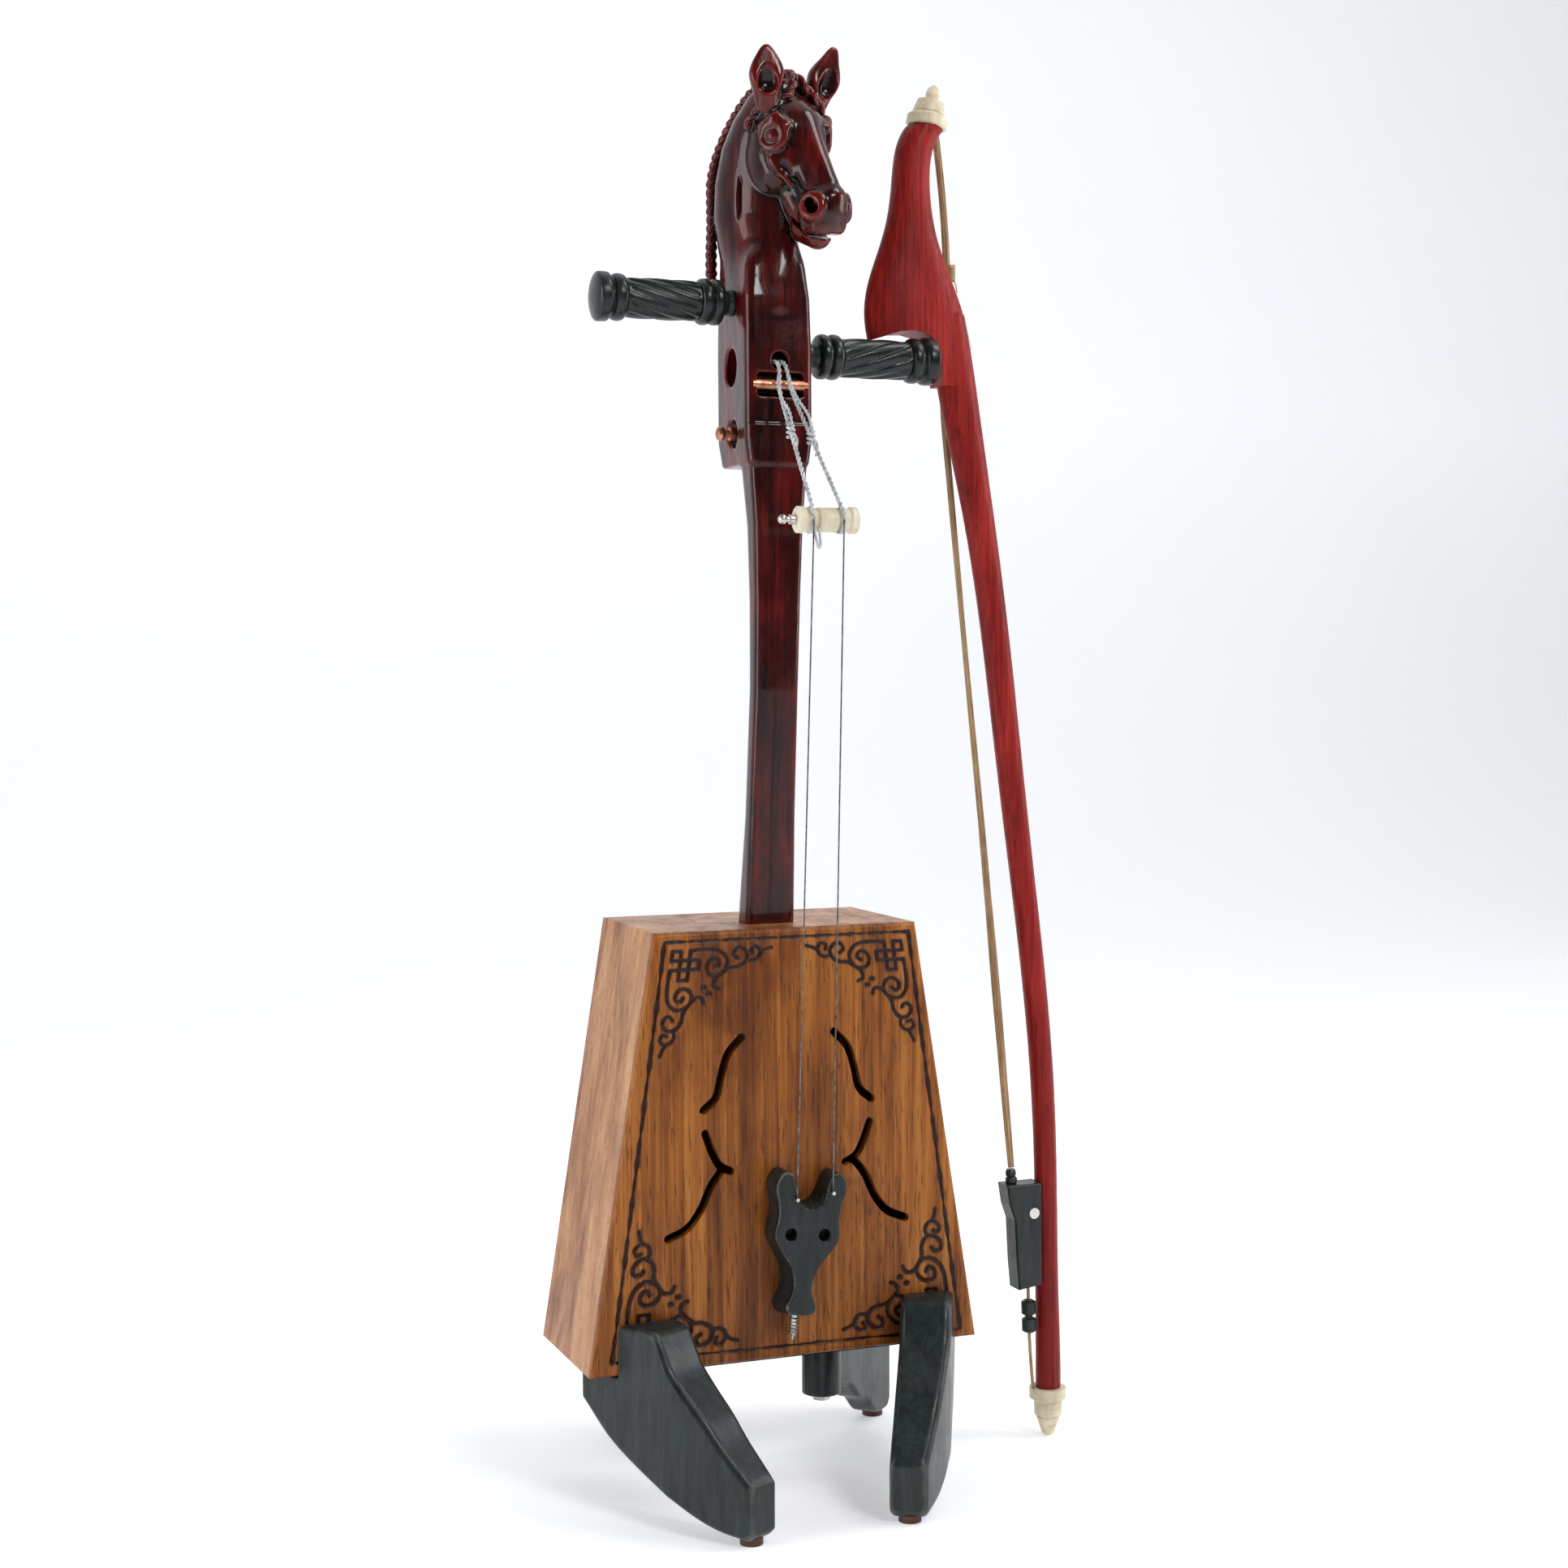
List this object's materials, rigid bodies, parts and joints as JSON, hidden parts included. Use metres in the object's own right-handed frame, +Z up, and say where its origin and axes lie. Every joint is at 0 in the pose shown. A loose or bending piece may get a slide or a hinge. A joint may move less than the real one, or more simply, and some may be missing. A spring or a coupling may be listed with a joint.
{
  "type": "horse-head fiddle with bow and stand",
  "caption": "Two-string fiddle with a tapered soundbox and a carved horse head, its curved bow hung on a peg, standing on a low tusk-legged stand.",
  "frame": {"origin": "on the floor, under the middle of the whole object's footprint", "axes": "+Z up along the strings, -Y the front of the soundbox, +X towards the bow"},
  "size_m": [0.2977, 0.2172, 0.7827],
  "materials": {
    "soundboard_wood": "satin varnish, vertical grain, burnt ornament",
    "box_wood": "satin varnish, straight grain",
    "inner_wood": "bare wood",
    "red_lacquer": "dark red gloss lacquer shaded to black",
    "copper": "worn copper",
    "black_wood": "satin black lacquer",
    "bone": "polished bone",
    "steel": "drawn steel",
    "grey_cord": "twisted waxed cord",
    "crimson_wood": "satin crimson lacquer",
    "horsehair": "straw-coloured hair",
    "pearl": "pale inlay",
    "brown_rubber": "dark rubber"
  },
  "bodies": {
    "stand": {"left_front_leg": "black_wood", "right_front_leg": "black_wood", "left_front_pad": "brown_rubber", "right_front_pad": "brown_rubber", "stand_rail": "black_wood", "rail_screws": "steel", "left_hinge_pin": "steel", "right_hinge_pin": "steel"},
    "left_rear_leg": {"left_rear_leg": "black_wood", "left_rear_pad": "brown_rubber"},
    "right_rear_leg": {"right_rear_leg": "black_wood", "right_rear_pad": "brown_rubber"},
    "fiddle": {"front_plate": "soundboard_wood", "back_plate": "box_wood", "left_side_board": "box_wood", "right_side_board": "box_wood", "top_board": "box_wood", "bottom_board": "box_wood", "corner_blocks": "inner_wood", "bass_bar": "inner_wood", "sound_post": "inner_wood", "end_button": "inner_wood", "neck": "red_lacquer", "pegbox": "red_lacquer", "horse_head": "red_lacquer", "string_bar": "copper", "bridge": "black_wood", "tail_screw": "steel", "string_pins": "steel", "string_nut": "bone", "nut_pin": "steel", "nut_post": "red_lacquer", "low_string": "steel", "high_string": "steel", "low_string_cord": "grey_cord", "high_string_cord": "grey_cord"},
    "tuner": {"tuner_knob": "copper"},
    "upper_peg": {"upper_peg_shaft": "black_wood", "upper_peg_rings": "black_wood", "upper_peg_grip": "black_wood", "upper_peg_cap": "black_wood"},
    "lower_peg": {"lower_peg_shaft": "black_wood", "lower_peg_rings": "black_wood", "lower_peg_grip": "black_wood", "lower_peg_cap": "black_wood"},
    "bow": {"bow_stick": "crimson_wood", "bow_head_cap": "bone", "bow_finial": "bone", "bow_end_collar": "bone", "bow_end_tip": "bone", "bow_hair": "horsehair", "hair_knot": "horsehair", "frog": "black_wood", "frog_dot": "pearl", "frog_ferrule": "black_wood", "frog_cord": "horsehair"},
    "beads": {"cord_beads": "black_wood"}
  },
  "joints": [
    {"name": "fiddle_lift", "type": "slide", "parent": "stand", "child": "fiddle", "axis": [0, 0, 1], "range_m": [0, 0.12]},
    {"name": "left_rear_swing", "type": "hinge", "parent": "stand", "child": "left_rear_leg", "pos_m": [-0.08, 0.0206, 0.055], "axis": [0, 0, 1], "range_deg": [-20, 70]},
    {"name": "right_rear_swing", "type": "hinge", "parent": "stand", "child": "right_rear_leg", "pos_m": [0.004, 0.0206, 0.055], "axis": [0, 0, 1], "range_deg": [-25, 65]},
    {"name": "upper_peg_turn", "type": "hinge", "parent": "fiddle", "child": "upper_peg", "pos_m": [-0.057, -0.0064, 0.6384], "axis": [-1, 0, 0], "continuous": true},
    {"name": "lower_peg_turn", "type": "hinge", "parent": "fiddle", "child": "lower_peg", "pos_m": [-0.019, -0.0064, 0.6123], "axis": [1, 0, 0], "continuous": true},
    {"name": "tuner_turn", "type": "hinge", "parent": "fiddle", "child": "tuner", "pos_m": [-0.057, -0.0064, 0.569], "axis": [-1, 0, 0], "continuous": true},
    {"name": "bow_lift", "type": "slide", "parent": "fiddle", "child": "bow", "axis": [0, 0, 1], "range_m": [0, 0.1]},
    {"name": "bead_slide", "type": "slide", "parent": "bow", "child": "beads", "axis": [-0.04, 0, 0.9992], "range_m": [-0.01, 0.004]}
  ]
}
